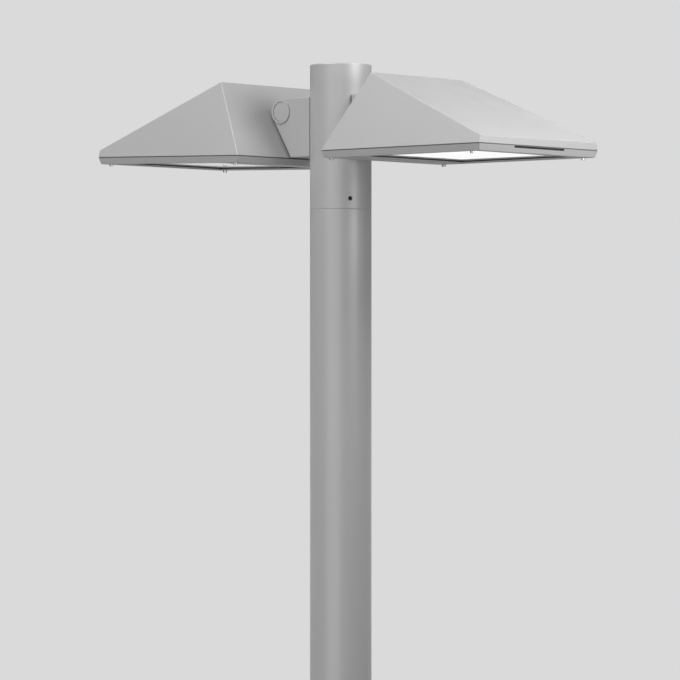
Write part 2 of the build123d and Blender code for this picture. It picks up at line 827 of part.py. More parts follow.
fixed_nodes = {
    "base_plate": base_plate, "pole_tube": pole_tube, "spigot": spigot, "door_crossbars": door_crossbars,
    "equipment_rail": equipment_rail, "rail_studs": rail_studs, "fuse_box": fuse_box,
    "fuse_box_cover": fuse_box_cover, "earth_stud": earth_stud, "mast_cable": mast_cable,
    "door_plate": door_plate, "door_screws": door_screws, "top_tube": top_tube, "top_cap": top_cap,
    "set_screws": set_screws, "junction_block": junction_block, "junction_plate": junction_plate,
}
bracket_nodes = {
    "bracket": bracket, "bracket_pad": bracket_pad, "backing_plate": backing_plate, "head_lead": head_lead,
}
shared_nodes = {
    "bracket_bolts": bracket_bolts, "pivot_bolts": pivot_bolt_and_nut, "pivot_caps": pivot_cap_pair,
}
head_nodes = {
    "housing": housing, "friction_discs": friction_discs, "cable_gland": cable_gland,
    "heat_spreader": heat_spreader, "led_board": led_board, "led_lenses": led_lenses,
    "reflector": reflector, "gear_tray": gear_tray, "driver": driver, "terminal_block": terminal_block,
    "gear_screws": gear_screws, "lid_frame": lid_frame, "lid_gasket": lid_gasket, "glass": glass,
    "glass_seal": glass_seal, "lid_screws": lid_screws,
}

nodes = {name: build() for name, build in fixed_nodes.items()}
for name, build in shared_nodes.items():
    nodes[name] = group([place * solid for place in (right_side, left_side) for solid in build()])
for side, (bracket_place, head_place) in sides.items():
    for name, build in bracket_nodes.items():
        nodes[side + "_" + name] = bracket_place * build()
    for name, build in head_nodes.items():
        nodes[side + "_" + name] = head_place * build()

os.makedirs("parts", exist_ok=True)
for name, shape in nodes.items():
    export_step(shape, "parts/" + name + ".step")
print(len(nodes), "nodes")
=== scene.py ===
"""Looks of the twin-head pole-top floodlight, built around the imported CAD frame."""
import json
import logging
import math
from dataclasses import dataclass, field
from enum import Enum
from typing import Any

import bmesh
import bpy
import numpy as np
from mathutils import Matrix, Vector


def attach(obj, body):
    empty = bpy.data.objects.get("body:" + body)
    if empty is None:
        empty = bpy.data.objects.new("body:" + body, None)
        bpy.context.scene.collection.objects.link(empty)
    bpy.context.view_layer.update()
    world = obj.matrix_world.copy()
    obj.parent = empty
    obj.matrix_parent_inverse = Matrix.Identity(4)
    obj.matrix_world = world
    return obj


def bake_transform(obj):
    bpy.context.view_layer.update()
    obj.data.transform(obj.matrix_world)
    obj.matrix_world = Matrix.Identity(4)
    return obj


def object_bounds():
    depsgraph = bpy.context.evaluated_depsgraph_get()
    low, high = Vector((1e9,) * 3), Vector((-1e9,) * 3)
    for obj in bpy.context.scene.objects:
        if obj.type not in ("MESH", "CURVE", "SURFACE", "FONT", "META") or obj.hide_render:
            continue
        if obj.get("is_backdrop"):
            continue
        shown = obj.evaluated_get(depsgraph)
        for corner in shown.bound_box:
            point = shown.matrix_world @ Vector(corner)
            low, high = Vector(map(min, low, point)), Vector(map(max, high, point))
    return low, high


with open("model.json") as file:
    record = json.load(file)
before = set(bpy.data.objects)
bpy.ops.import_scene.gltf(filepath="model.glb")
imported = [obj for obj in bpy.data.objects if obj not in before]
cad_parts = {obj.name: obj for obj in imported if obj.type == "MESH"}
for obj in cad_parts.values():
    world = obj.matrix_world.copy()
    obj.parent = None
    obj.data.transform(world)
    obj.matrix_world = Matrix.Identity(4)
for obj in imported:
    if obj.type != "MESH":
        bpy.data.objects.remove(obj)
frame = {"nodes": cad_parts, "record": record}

LOG = logging.getLogger("floodlight")
MM = 0.001
SHARP_EDGE = math.radians(35)
SAME_POINT = 1e-7
Colour = tuple[float, float, float]
Triple = tuple[float, float, float]


# ------------------------------------------------------------------ shader maths
class Num:
    """A number that varies over a surface: one shader socket that takes part in Python arithmetic."""

    def __init__(self, graph: "Graph", socket: bpy.types.NodeSocket) -> None:
        """Wrap an output socket of a graph."""
        self.graph = graph
        self.socket = socket

    def math(self, operation: str, first: Any, second: Any) -> "Num":
        """Add one Math node.

        Args:
            operation: the node's operation.
            first, second: its inputs, each a Num or a plain number.

        Returns:
            The node's value.
        """
        node = self.graph.node("ShaderNodeMath", {"operation": operation}, {0: first, 1: second})
        return Num(self.graph, node.outputs[0])

    def __add__(self, other: "Num | float") -> "Num":
        """Sum."""
        return self.math("ADD", self, other)

    def __sub__(self, other: "Num | float") -> "Num":
        """Difference."""
        return self.math("SUBTRACT", self, other)

    def __mul__(self, other: "Num | float") -> "Num":
        """Product."""
        return self.math("MULTIPLY", self, other)

    def __pow__(self, other: float) -> "Num":
        """Power."""
        return self.math("POWER", self, other)

    __radd__ = __add__

    def clamp(self, low: float = 0.0, high: float = 1.0) -> "Num":
        """This number kept between two limits."""
        return self.math("MINIMUM", self.math("MAXIMUM", self, low), high)

    def step(self, low: float, high: float) -> "Num":
        """Smooth step: 0 below low, 1 above high, and 3t^2 - 2t^3 between them."""
        settings = {"interpolation_type": "SMOOTHSTEP"}
        values = {"Value": self, "From Min": low, "From Max": high, "To Min": 0.0, "To Max": 1.0}
        return Num(self.graph, self.graph.node("ShaderNodeMapRange", settings, values).outputs["Result"])


class Graph:
    """The node tree of one material, ending in a Principled shader."""

    def __init__(self, name: str) -> None:
        """Start an empty tree for a material of that name."""
        self.material = bpy.data.materials.new(name)
        self.material.use_nodes = True
        self.tree = self.material.node_tree
        self.tree.nodes.clear()

    def node(self, kind: str, settings: dict[str, Any], values: dict[Any, Any]) -> bpy.types.Node:
        """Add any node.

        Args:
            kind: the node's type.
            settings: its properties, set first.
            values: its inputs by name or number, each a Num, an output socket or a plain value.

        Returns:
            The new node.
        """
        node = self.tree.nodes.new(kind)
        for key, value in settings.items():
            setattr(node, key, value)
        for key, value in values.items():
            source = value.socket if isinstance(value, Num) else value
            if isinstance(source, bpy.types.NodeSocket):
                self.tree.links.new(source, node.inputs[key])
            else:
                node.inputs[key].default_value = source
        return node

    def place(self, stretch: Triple = (1, 1, 1)) -> bpy.types.NodeSocket:
        """Object coordinates, stretched along each axis."""
        coordinates = self.node("ShaderNodeTexCoord", {}, {}).outputs["Object"]
        values = {"Vector": coordinates, "Scale": tuple(1 / share for share in stretch)}
        return self.node("ShaderNodeMapping", {"vector_type": "POINT"}, values).outputs["Vector"]

    def noise(self, size: float, detail: float = 2.0, stretch: Triple = (1, 1, 1)) -> Num:
        """Noise around 0.5.

        Args:
            size: the width of its blobs in metres.
            detail: octaves.
            stretch: how much longer the blobs are along each axis.

        Returns:
            The noise.
        """
        values = {"Vector": self.place(stretch), "Scale": 1 / size, "Detail": detail, "Roughness": 0.55}
        return Num(self, self.node("ShaderNodeTexNoise", {}, values).outputs[0])

    def cells(self, size: float) -> Num:
        """Voronoi cells of a given width, with a random value for each cell."""
        node = self.node("ShaderNodeTexVoronoi", {}, {"Vector": self.place(), "Scale": 1 / size})
        return Num(self, node.outputs["Color"])

    def facing_up(self) -> Num:
        """How far the surface faces up: the normal's z."""
        normal = self.node("ShaderNodeNewGeometry", {}, {}).outputs["Normal"]
        return Num(self, self.node("ShaderNodeSeparateXYZ", {}, {0: normal}).outputs["Z"])

    def mix(self, factor: Num, first: Any, second: Any) -> bpy.types.NodeSocket:
        """Colour between two colours, each a triple or a socket."""
        values = {0: factor}
        for key, colour in ((6, first), (7, second)):
            values[key] = colour if isinstance(colour, bpy.types.NodeSocket) else (*colour, 1.0)
        node = self.node("ShaderNodeMix", {"data_type": "RGBA"}, values)
        return node.outputs[2]

    def shade(self, colour: Colour, change: Num) -> bpy.types.NodeSocket:
        """A colour made darker or lighter by a number that varies about 1."""
        dark = tuple(channel * 0.5 for channel in colour)
        light = tuple(channel * 1.5 for channel in colour)
        return self.mix((change - 0.5).clamp(), dark, light)

    def bump(self, height: Num, depth: float) -> bpy.types.NodeSocket:
        """Normal of a surface raised by height times depth, in metres."""
        values = {"Height": height, "Distance": depth, "Strength": 1.0}
        return self.node("ShaderNodeBump", {}, values).outputs["Normal"]

    def principled(self, values: dict[str, Any]) -> bpy.types.Node:
        """Add the Principled shader; a triple becomes a colour with alpha 1."""
        full = {}
        for key, value in values.items():
            full[key] = (*value, 1.0) if isinstance(value, tuple) and len(value) == 3 else value
        return self.node("ShaderNodeBsdfPrincipled", {}, full)

    def finish(self, shader: bpy.types.NodeSocket) -> bpy.types.Material:
        """Connect a shader to the output and return the material."""
        self.node("ShaderNodeOutputMaterial", {}, {"Surface": shader})
        return self.material


# ------------------------------------------------------------------ finishes
@dataclass(frozen=True)
class PowderCoat:
    """Fine satin metallic powder coat: flakes, orange peel and a breath of dust on upward faces."""

    name: str = "silver powder coat"
    colour: Colour = (0.46, 0.46, 0.462)
    dust: Colour = (0.56, 0.555, 0.54)
    flake_size: float = 0.5 * MM
    peel_size: float = 2.2 * MM
    peel_depth: float = 0.012 * MM
    roughness: float = 0.44
    metallic: float = 0.30
    cloud_size: float = 0.22
    run_size: float = 0.03
    run_stretch: Triple = (1, 1, 14)
    dust_size: float = 0.05
    dust_share: float = 0.25
    wear_size: float = 0.015

    def build(self) -> bpy.types.Material:
        """Return the node material."""
        graph = Graph(self.name)
        cloud = graph.noise(self.cloud_size, 3.0)
        flake = graph.noise(self.flake_size, 1.0)
        run = graph.noise(self.run_size, 2.0, self.run_stretch)
        change = 1 + (cloud - 0.5) * 0.05 + (flake - 0.5) * 0.10 + (run - 0.5) * 0.03
        upward = graph.facing_up().step(0.3, 1.0)
        dusty = upward * graph.noise(self.dust_size, 4.0).step(0.35, 0.8) * self.dust_share
        colour = graph.mix(dusty, graph.shade(self.colour, change), self.dust)
        rough = self.roughness + (graph.noise(self.wear_size, 3.0) - 0.5) * 0.12 + dusty * 0.3
        peel = graph.noise(self.peel_size, 2.0) + flake * 0.15
        values = {
            "Base Color": colour,
            "Roughness": rough,
            "Metallic": self.metallic,
            "Normal": graph.bump(peel, self.peel_depth),
        }
        return graph.finish(graph.principled(values).outputs[0])


@dataclass(frozen=True)
class Zinc:
    """Hot-dip zinc: crystals of slightly different greys, dulled with age."""

    name: str = "galvanised steel"
    dark: Colour = (0.30, 0.31, 0.32)
    light: Colour = (0.50, 0.51, 0.52)
    crystal: float = 9 * MM
    bloom_size: float = 0.05
    grit_size: float = 2.5 * MM
    grit_depth: float = 0.03 * MM
    metallic: float = 0.85

    def build(self) -> bpy.types.Material:
        """Return the node material."""
        graph = Graph(self.name)
        crystals = graph.cells(self.crystal)
        bloom = graph.noise(self.bloom_size, 4.0)
        colour = graph.mix((crystals * 0.6 + bloom * 0.4).clamp(), self.dark, self.light)
        values = {
            "Base Color": colour,
            "Roughness": 0.42 + crystals * 0.12 + bloom * 0.1,
            "Metallic": self.metallic,
            "Normal": graph.bump(graph.noise(self.grit_size, 3.0), self.grit_depth),
        }
        return graph.finish(graph.principled(values).outputs[0])


@dataclass(frozen=True)
class BareMetal:
    """Machined or drawn metal with fine marks along one direction."""

    name: str
    colour: Colour
    roughness: float
    grain: Triple = (1, 1, 1)
    grain_size: float = 0.25 * MM
    stain: float = 0.12
    stain_size: float = 0.012
    mark_depth: float = 0.01 * MM

    def build(self) -> bpy.types.Material:
        """Return the node material."""
        graph = Graph(self.name)
        marks = graph.noise(self.grain_size, 2.0, self.grain)
        patch = graph.noise(self.stain_size, 3.0)
        change = 1 + (marks - 0.5) * 0.18 + (patch - 0.5) * self.stain
        values = {
            "Base Color": graph.shade(self.colour, change),
            "Roughness": self.roughness + (marks - 0.5) * 0.15 + (patch - 0.5) * 0.1,
            "Metallic": 1.0,
            "Normal": graph.bump(marks, self.mark_depth),
        }
        return graph.finish(graph.principled(values).outputs[0])


@dataclass(frozen=True)
class Moulded:
    """Moulded plastic or rubber with a spark-eroded grain and faint bloom."""

    name: str
    colour: Colour
    roughness: float
    grain_size: float = 0.6 * MM
    grain_depth: float = 0.02 * MM
    bloom_size: float = 0.02

    def build(self) -> bpy.types.Material:
        """Return the node material."""
        graph = Graph(self.name)
        grain = graph.noise(self.grain_size, 2.0)
        bloom = graph.noise(self.bloom_size, 4.0)
        change = 1 + (grain - 0.5) * 0.15 + (bloom - 0.5) * 0.2
        values = {
            "Base Color": graph.shade(self.colour, change),
            "Roughness": self.roughness + (bloom - 0.5) * 0.15,
            "Normal": graph.bump(grain, self.grain_depth),
        }
        return graph.finish(graph.principled(values).outputs[0])


@dataclass(frozen=True)
class ClearPane:
    """Clear pane or optic: reflects by Fresnel's law and lets the rest through."""

    name: str
    tint: Colour
    roughness: float
    body: float
    metallic: float = 0.0
    film_size: float = 0.04
    sag_size: float = 0.15
    sag_depth: float = 0.02 * MM
    reflection_head_on: float = 0.04

    def build(self) -> bpy.types.Material:
        """Return the node material.

        The share that isn't clear is body plus Schlick's 0.04 + 0.96 f^5, where f is 1 less the cosine of
        the angle that the face is seen at. A metallic share of 1 makes it a pure reflection.
        """
        graph = Graph(self.name)
        film = graph.noise(self.film_size, 4.0)
        values = {
            "Base Color": graph.shade(self.tint, 1 + (film - 0.5) * 0.06),
            "Roughness": self.roughness + film * 0.03,
            "Metallic": self.metallic,
            "Normal": graph.bump(graph.noise(self.sag_size, 1.0), self.sag_depth),
        }
        gloss = graph.principled(values).outputs[0]
        clear = graph.node("ShaderNodeBsdfTransparent", {}, {}).outputs[0]
        edge_on = Num(graph, graph.node("ShaderNodeLayerWeight", {}, {"Blend": 0.5}).outputs["Facing"])
        rest = 1 - self.reflection_head_on
        share = (edge_on ** 5 * rest + self.reflection_head_on + self.body).clamp()
        shader = graph.node("ShaderNodeMixShader", {}, {0: share, 1: clear, 2: gloss})
        return graph.finish(shader.outputs[0])


FINISHES = {
    "silver_powder_coat": PowderCoat(),
    "galvanised_steel": Zinc(),
    "stainless_steel": BareMetal("stainless steel", (0.66, 0.65, 0.63), 0.16),
    "black_steel": BareMetal("black steel", (0.035, 0.035, 0.037), 0.45),
    "grey_silicone": Moulded("grey silicone", (0.14, 0.14, 0.14), 0.6, 0.9 * MM),
    "brass": BareMetal("brass", (0.70, 0.50, 0.22), 0.32),
    "bare_aluminium": BareMetal("bare aluminium", (0.74, 0.74, 0.75), 0.35, (60, 1, 1)),
    "black_polymer": Moulded("black polymer", (0.022, 0.022, 0.023), 0.5),
    "grey_polymer": Moulded("grey polymer", (0.30, 0.31, 0.32), 0.45),
    "white_polymer": Moulded("white polymer", (0.78, 0.78, 0.76), 0.4),
    "cable_sheath": Moulded("cable sheath", (0.02, 0.02, 0.021), 0.42, 1.2 * MM),
    "black_rubber": Moulded("black rubber", (0.016, 0.016, 0.017), 0.75, 0.9 * MM, 0.04 * MM),
    "white_board": Moulded("white board", (0.86, 0.86, 0.84), 0.35, 0.3 * MM, 0.005 * MM),
    "white_reflector": Moulded("white reflector", (0.90, 0.90, 0.89), 0.3, 1.5 * MM, 0.01 * MM),
    "clear_lens": ClearPane("clear lens", (0.90, 0.91, 0.92), 0.06, 0.35),
    "clear_glass": ClearPane("clear glass", (0.92, 0.94, 0.94), 0.03, 0.0, 1.0),
    "phosphor": Moulded("phosphor", (0.86, 0.62, 0.10), 0.5, 0.3 * MM, 0.004 * MM),
}


# ------------------------------------------------------------------ surfaces
def curve_through(stops: list[Triple], count: int) -> np.ndarray:
    """Smooth curve through a few points, by the Catmull-Rom cubic.

    Between stops b and c, with neighbours a and d, the point at t is half of
    2b + (c - a)t + (2a - 5b + 4c - d)t^2 + (3b - a - 3c + d)t^3.

    Args:
        stops: the points that it passes.
        count: how many points it is made of.

    Returns:
        The curve's points, one per row.
    """
    inner = np.array(stops, float)
    full = np.vstack([2 * inner[0] - inner[1], inner, 2 * inner[-1] - inner[-2]])
    along = np.linspace(0, len(inner) - 1, count)
    span = np.clip(along.astype(int), 0, len(inner) - 2)
    t = (along - span)[:, None]
    a, b, c, d = (full[span + step] for step in range(4))
    return 0.5 * (2 * b + (c - a) * t + (2 * a - 5 * b + 4 * c - d) * t**2 + (3 * b - a - 3 * c + d) * t**3)


class Surface:
    """Closed quad surfaces laid over grids of points in millimetres."""

    def __init__(self) -> None:
        """Start with no points."""
        self.points: list[np.ndarray] = []
        self.quads: list[np.ndarray] = []
        self.count = 0

    def grid(self, points: np.ndarray, ring: bool = False) -> None:
        """Lay quads over a grid whose columns close on themselves.

        Args:
            points: rows x columns x 3.
            ring: True if the last row also joins the first.
        """
        rows, columns = points.shape[:2]
        index = np.arange(rows * columns).reshape(rows, columns) + self.count
        index = np.hstack([index, index[:, :1]])
        if ring:
            index = np.vstack([index, index[:1]])
        corners = (index[:-1, :-1], index[:-1, 1:], index[1:, 1:], index[1:, :-1])
        self.quads.append(np.stack(corners, -1).reshape(-1, 4))
        self.points.append(points.reshape(-1, 3))
        self.count += rows * columns

    def tube(self, path: np.ndarray, radius: float, side: Triple, sides: int = 16) -> None:
        """Round wire along a path, closed at both ends.

        Each ring is path + radius (cos u n + sin u b), where n is side made square to the path and b is
        the path's direction crossed with n.

        Args:
            path: its centre line, one point per row.
            radius: its radius.
            side: a direction that the path never runs along.
            sides: points round each ring.
        """
        run = np.gradient(path, axis=0)
        run /= np.linalg.norm(run, axis=1, keepdims=True)
        across = np.array(side, float) - (run @ np.array(side, float))[:, None] * run
        across /= np.linalg.norm(across, axis=1, keepdims=True)
        over = np.cross(run, across)
        turn = np.linspace(0, 2 * math.pi, sides, endpoint=False)[None, :, None]
        rings = path[:, None] + radius * (np.cos(turn) * across[:, None] + np.sin(turn) * over[:, None])
        first = np.repeat(path[:1, None], sides, axis=1)
        last = np.repeat(path[-1:, None], sides, axis=1)
        self.grid(np.concatenate([first, rings, last]))

    def turned(
        self, profile: list[tuple[float, float]], centre: Triple, axis: Triple, sides: int = 32
    ) -> None:
        """Turned solid: centre + h axis + r (cos u n + sin u b) for each (r, h) of the profile.

        Args:
            profile: radius and height pairs, the first and last on the axis.
            centre: where its height is 0.
            axis: its unit axis.
            sides: points round it.
        """
        along = np.array(axis, float)
        helper = np.array((0.0, 0.0, 1.0)) if abs(along[2]) < 0.9 else np.array((1.0, 0.0, 0.0))
        across = np.cross(along, helper)
        across /= np.linalg.norm(across)
        over = np.cross(along, across)
        turn = np.linspace(0, 2 * math.pi, sides, endpoint=False)[None, :, None]
        radius, height = (np.array(values)[:, None, None] for values in zip(*profile))
        self.grid(np.array(centre) + height * along + radius * (np.cos(turn) * across + np.sin(turn) * over))

    def pad(self, centre: Triple, size: Triple, bevel: float, sides: int = 32) -> None:
        """Flat block with rounded corners and a bevel round its lower face.

        Its outline is the superellipse |x / a|^6 + |y / b|^6 = 1.

        Args:
            centre: the middle of its upper face.
            size: length, width and thickness; it hangs down from its upper face.
            bevel: the bevel's leg.
            sides: points round it.
        """
        turn = np.linspace(0, 2 * math.pi, sides, endpoint=False)
        wave = np.stack([np.cos(turn), np.sin(turn)], 1)
        outline = np.sign(wave) * np.abs(wave) ** (1 / 3)
        half = np.array(size[:2]) / 2
        low, inner = -size[2], 1.0 - bevel / half.min()
        rows = [(0.0, 0.0), (1.0, 0.0), (1.0, bevel + low), (inner, low), (0.0, low)]
        grid = np.zeros((len(rows), sides, 3))
        scale, height = np.array(rows).T
        grid[..., :2] = outline * half * scale[:, None, None]
        grid[..., 2] = height[:, None]
        self.grid(grid + np.array(centre))

    def build(self, name: str, material: bpy.types.Material, seat: "Seat") -> bpy.types.Object:
        """Make the object, its points put where its seat says.

        Args:
            name: the object's name.
            material: what it wears.
            seat: turns its millimetres into the row frame's metres.

        Returns:
            The new object, at the origin.
        """
        mesh = bpy.data.meshes.new(name)
        points = seat.place(np.concatenate(self.points))
        mesh.from_pydata(points.tolist(), [], np.concatenate(self.quads).tolist())
        work = bmesh.new()
        work.from_mesh(mesh)
        bmesh.ops.remove_doubles(work, verts=work.verts, dist=SAME_POINT)
        bmesh.ops.recalc_face_normals(work, faces=work.faces)
        work.to_mesh(mesh)
        work.free()
        mesh.polygons.foreach_set("use_smooth", np.ones(len(mesh.polygons), bool))
        mesh.set_sharp_from_angle(angle=SHARP_EDGE)
        mesh.materials.append(material)
        piece = bpy.data.objects.new(name, mesh)
        bpy.context.scene.collection.objects.link(piece)
        LOG.info("%s: %d faces", name, len(mesh.polygons))
        return piece


@dataclass(frozen=True)
class Seat:
    """Where a drawing in millimetres stands in the row frame.

    up is the height that its z = 0 stands at.
    """

    up: float = 0.0

    def place(self, points: np.ndarray) -> np.ndarray:
        """Points in the row frame, in metres."""
        return (points + np.array((0.0, 0.0, self.up))) * MM


class Side(Enum):
    """The two sides that carry a head."""

    RIGHT = "right"
    LEFT = "left"


@dataclass(frozen=True)
class HeadSeat(Seat):
    """A head's own frame: x out from the column, y across, z = 0 at the seam with its lid."""

    side: Side = Side.RIGHT
    aim: float = 0.0
    pivot_x: float = 118.5
    pivot_z: float = 82.0

    def place(self, points: np.ndarray) -> np.ndarray:
        """Turn front-up by aim about the pivot, then half a turn about the column on the left."""
        x, y, z = (points - np.array((self.pivot_x, 0.0, self.pivot_z))).T
        out = x * math.cos(self.aim) - z * math.sin(self.aim) + self.pivot_x
        high = x * math.sin(self.aim) + z * math.cos(self.aim) + self.pivot_z
        sign = 1.0 if self.side is Side.RIGHT else -1.0
        return super().place(np.stack([sign * out, sign * y, high], 1))


SEAM = 3094.3
LEFT_AIM = math.radians(1.5)


class Assembly:
    """A sub-assembly: dresses its own CAD nodes and hangs its built pieces on one body."""

    def __init__(self, body: str, seat: Seat, wardrobe: dict[str, bpy.types.Material]) -> None:
        """Note the body, the seat of its drawings and the finishes by material slot."""
        self.body = body
        self.seat = seat
        self.wardrobe = wardrobe

    def dress(self) -> None:
        """Give every CAD node of the body the finish of its material slot."""
        owned = frame["record"]["behaviour"]["bodies"][self.body]
        for part in frame["record"]["subparts"]:
            if part["node"] in owned:
                mesh = frame["nodes"][part["node"]].data
                mesh.materials.clear()
                mesh.materials.append(self.wardrobe[part["material_slot"]])
                LOG.info("%s wears %s", part["node"], part["material_slot"])

    def add(self, name: str, surface: Surface, slot: str) -> bpy.types.Object:
        """Build a piece in a slot's finish and let it ride on the body."""
        piece = surface.build(f"{self.body}_{name}", self.wardrobe[slot], self.seat)
        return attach(piece, self.body)


# Screw heads, as radius and height pairs from the seat up. The first two are shares of a screw's radius and
# are scaled by it; the others are in millimetres.
CHEESE_HEAD = [(0, -0.6), (0.5, -0.6), (0.9, 0.4), (1.0, 0.9), (0.55, 1.4), (0.45, 1.0), (0, 1.0)]
LENS_HEAD = [(0, -0.5), (1.0, -0.5), (1.0, 0.5), (0.8, 1.3), (0.4, 1.5), (0.35, 0.9), (0, 0.9)]
TERMINAL_HEAD = [(0, 0.0), (2.2, 0.0), (2.2, 3.0), (1.9, 3.4), (0.7, 3.4), (0.6, 2.6), (0, 2.6)]
PORT_HEAD = [(0, 0.0), (2.4, 0.0), (2.4, 2.2), (2.0, 2.6), (0.8, 2.6), (0.7, 1.8), (0, 1.8)]


# ------------------------------------------------------------------ column
@dataclass(frozen=True)
class ColumnSizes:
    """Millimetres from the base plate's underside."""

    weld_low: float = 16.0
    weld_leg: float = 6.0
    pole_radius: float = 54.0
    weld_ripple: float = 0.35
    weld_waves: int = 150
    weld_sunk: float = 0.2
    weld_lean: float = 1.2
    weld_drift: float = 0.37
    fuse_front: float = -18.0
    fuse_low: float = 520.0
    fuse_high: float = 680.0
    fuse_half: float = 28.0
    cover_screw_inset: float = 5.5
    cover_screw_radius: float = 2.6
    earth_from: Triple = (0.0, 35.0, 475.0)
    earth_to: Triple = (17.0, 6.0, 521.0)
    earth_wire: float = 1.7
    earth_side: Triple = (0.0, 0.3, -0.2)


class Column(Assembly):
    """Base plate, column and what is behind the service door."""

    sizes = ColumnSizes()

    def weld(self) -> None:
        """Bead round the foot of the column.

        Its section is a quarter wave between the plate and the column, r = R + leg (1 - sin v) and
        z = leg (1 - cos v), swollen by ripple times the sum of a wave round the foot and half of a
        slower one. It is sunk a little into both.
        """
        s = self.sizes
        turn = np.linspace(0, 2 * math.pi, 8 * s.weld_waves, endpoint=False)[None, :]
        section = np.linspace(0, math.pi / 2, 9)[:, None]
        middle = np.sin(section * 2)
        wave = np.cos(turn * s.weld_waves + s.weld_lean * middle)
        wave = wave + 0.5 * np.cos(turn * s.weld_waves * s.weld_drift)
        swell = 1 + s.weld_ripple * wave * middle / s.weld_leg
        reach = s.pole_radius - s.weld_sunk + s.weld_leg * (1 - np.sin(section)) * swell
        rise = s.weld_low - s.weld_sunk + s.weld_leg * (1 - np.cos(section)) * swell
        rows = np.stack([reach * np.cos(turn), reach * np.sin(turn), rise + 0 * turn], -1)
        back = rows[-1:] * np.array((1.0, 1.0, 0.0)) + np.array((0.0, 0.0, s.weld_low - s.weld_sunk))
        bead = Surface()
        bead.grid(np.concatenate([rows, back]), ring=True)
        self.add("foot_weld", bead, "galvanised_steel")

    def cover_screws(self) -> None:
        """Four cheese-head screws in the fuse box's cover."""
        s = self.sizes
        heads = Surface()
        profile = [(r * s.cover_screw_radius, h) for r, h in CHEESE_HEAD]
        for x in (-1, 1):
            for z in (s.fuse_low + s.cover_screw_inset, s.fuse_high - s.cover_screw_inset):
                heads.turned(profile, (x * (s.fuse_half - s.cover_screw_inset), s.fuse_front, z), (0, -1, 0))
        self.add("cover_screws", heads, "stainless_steel")

    def earth_wire(self) -> None:
        """Wire from the earth stud up into the fuse box."""
        s = self.sizes
        (x0, y0, z0), (x1, y1, z1) = s.earth_from, s.earth_to
        out, bend = 6, 14
        stops = [(x0 + out, y0, z0), (x0 + bend, y0 - 2, z0 + 2), (x1 + 4, y0 - bend, z0 + bend)]
        stops += [(x1, y1, z1 - bend), (x1, y1, z1)]
        wire = Surface()
        wire.tube(curve_through(stops, 40), s.earth_wire, s.earth_side)
        self.add("earth_wire", wire, "cable_sheath")

    def build(self) -> None:
        """Make everything."""
        self.dress()
        self.weld()
        self.cover_screws()
        self.earth_wire()


# ------------------------------------------------------------------ head
@dataclass(frozen=True)
class HeadSizes:
    """Millimetres in the head's own frame."""

    board_centre: float = 270.0
    lens_rows: int = 4
    lens_columns: int = 6
    lens_pitch: float = 31.0
    board_low: float = 32.0
    package: float = 3.6
    package_thick: float = 0.7
    package_sunk: float = 0.1
    package_bevel: float = 0.15
    phosphor: float = 2.6
    phosphor_thick: float = 0.2
    phosphor_sunk: float = 0.15
    phosphor_bevel: float = 0.05
    lens_screw_radius: float = 2.4
    lens_screw_rows: tuple[int, ...] = (-1, 1)
    lens_screw_columns: tuple[int, ...] = (-2, 0, 2)
    lens_plate_low: float = 30.0
    terminal_x: float = 155.0
    terminal_low: float = 44.0
    terminal_pitch: float = 11.0
    terminal_ways: int = 4
    terminal_recess: float = 6.5
    wire: float = 1.1
    wire_gap: float = 3.5
    gland_inside: Triple = (120.9, 0.0, 23.8)
    gland_tip: Triple = (105.2, 0.0, 33.5)
    web_front: float = 66.0
    web_run: float = 10.0
    lead_up: float = 52.0
    lead: float = 3.3
    lead_before_gland: tuple[float, float] = (12.0, 9.0)
    lead_in_gland: tuple[float, float] = (4.0, 2.4)
    lead_points: int = 40
    lead_held: tuple[int, int] = (2, -4)


# Runs of the cores inside a head. Each stop has its place, and how far it moves for each step from one core
# to the next, in millimetres. The gland's are measured from the gland's inner end.
GLAND_RUN = [
    ((-3, 0, 2), (0, 1, 0)), ((6, 0, -4), (0, 1, 0)), ((14, 0, 2), (0, 3, 0)),
    ((16, 0, 20), (0, 6, 0)), ((26, 0, 26), (0, 10.5, 0)),
]
MAINS_RUN = [
    ((156, 21, 50), (0, 0, -1)), ((157, 60, 47), (0, 0, -1)), ((161, 98, 51), (0, 1, 0)),
    ((172, 101, 66), (0, 1, 0)), ((186, 88, 76), (1, 0, 0)), ((190, 74, 76), (2, 0, 0)),
]
OUTPUT_RUN = [
    ((200, -74, 76), (2, 0, 0)), ((202, -90, 75), (2, 0, 0)), ((206, -104, 62), (2, 0, 0)),
    ((212, -108, 50), (2, 0, 0)), ((214, -108, 41), (2, 0, 0)),
]
WIDTHWAYS = (0, 1, 0)
SKEW = (1, 0.2, 0)


